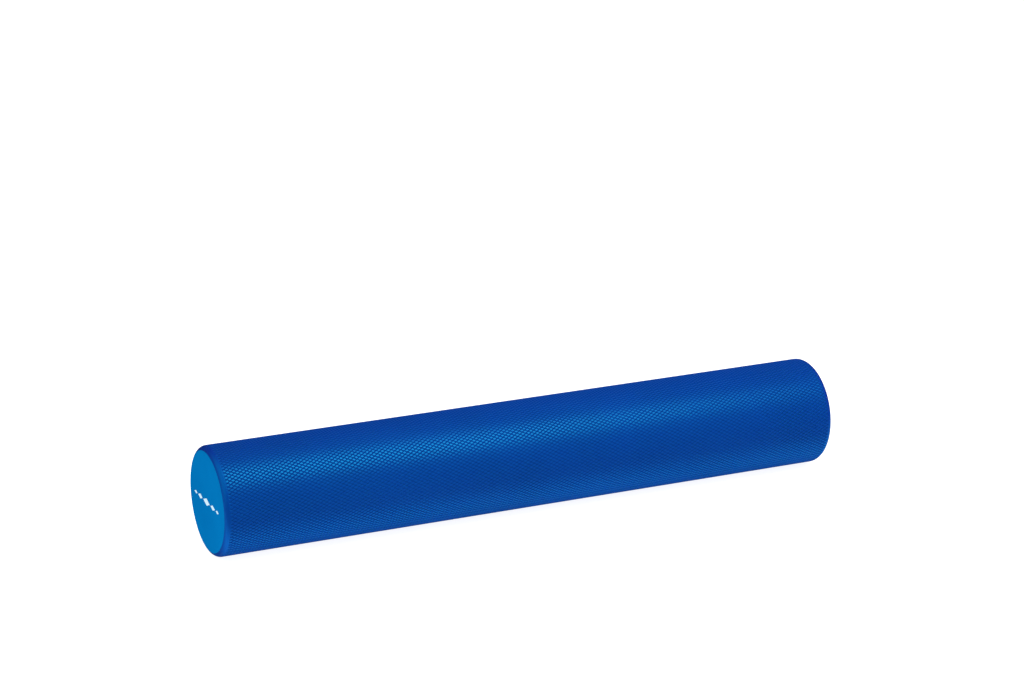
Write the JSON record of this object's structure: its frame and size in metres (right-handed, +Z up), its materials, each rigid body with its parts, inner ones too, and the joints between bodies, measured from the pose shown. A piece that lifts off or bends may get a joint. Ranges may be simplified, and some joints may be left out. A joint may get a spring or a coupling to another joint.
{
  "type": "foam roller",
  "caption": "Long round closed-cell foam roller with an embossed diamond texture, smooth rounded rims and flat contrasting end faces, for massage and floor exercise.",
  "frame": {"origin": "below the middle of the roller, where it rests on the floor", "axes": "+X along the roller's axis towards the right end, +Y across it, +Z up"},
  "size_m": [0.912, 0.15, 0.1499],
  "materials": {
    "sleeve_foam": "satin",
    "disc_foam": "satin",
    "core_foam": "matte",
    "print_film": "matte"
  },
  "bodies": {
    "root": {"core_plank_bottom": "core_foam", "core_plank_lower": "core_foam", "core_plank_middle": "core_foam", "core_plank_upper": "core_foam", "core_plank_top": "core_foam", "outer_sleeve": "sleeve_foam", "end_disc_left": "disc_foam", "end_disc_right": "disc_foam", "end_print_left": "print_film", "end_print_right": "print_film"}
  },
  "joints": []
}
